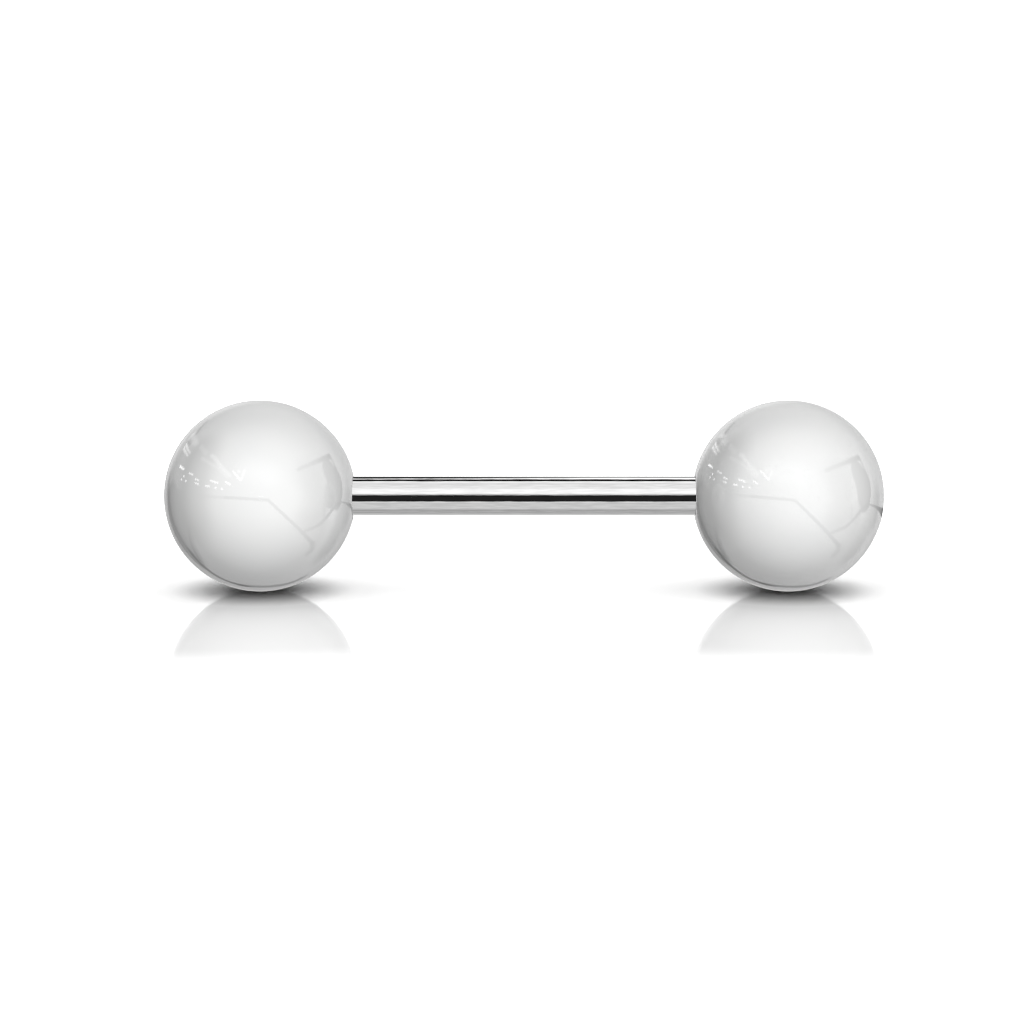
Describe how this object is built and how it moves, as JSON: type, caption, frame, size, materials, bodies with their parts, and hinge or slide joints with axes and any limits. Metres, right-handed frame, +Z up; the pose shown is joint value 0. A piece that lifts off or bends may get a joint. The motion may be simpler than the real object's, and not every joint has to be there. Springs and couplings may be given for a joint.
{
  "type": "straight piercing barbell",
  "caption": "Straight piercing barbell: a polished steel rod with a glossy white screw-on ball at each end, lying on its balls.",
  "frame": {"origin": "on the surface that the balls rest on, below the middle of the rod", "axes": "+X along the rod towards the right ball, +Y away from the viewer, +Z up"},
  "size_m": [0.0302, 0.008, 0.008],
  "materials": {
    "polished_steel": "polished",
    "white_acrylic": "gloss"
  },
  "bodies": {
    "shaft": {"shaft": "polished_steel"},
    "ball_left": {"ball_left": "white_acrylic"},
    "ball_right": {"ball_right": "white_acrylic"}
  },
  "joints": [
    {"name": "left_ball_off", "type": "slide", "parent": "shaft", "child": "ball_left", "axis": [-1, 0, 0], "range_m": [0, 0.025]},
    {"name": "right_ball_off", "type": "slide", "parent": "shaft", "child": "ball_right", "axis": [1, 0, 0], "range_m": [0, 0.025]}
  ]
}
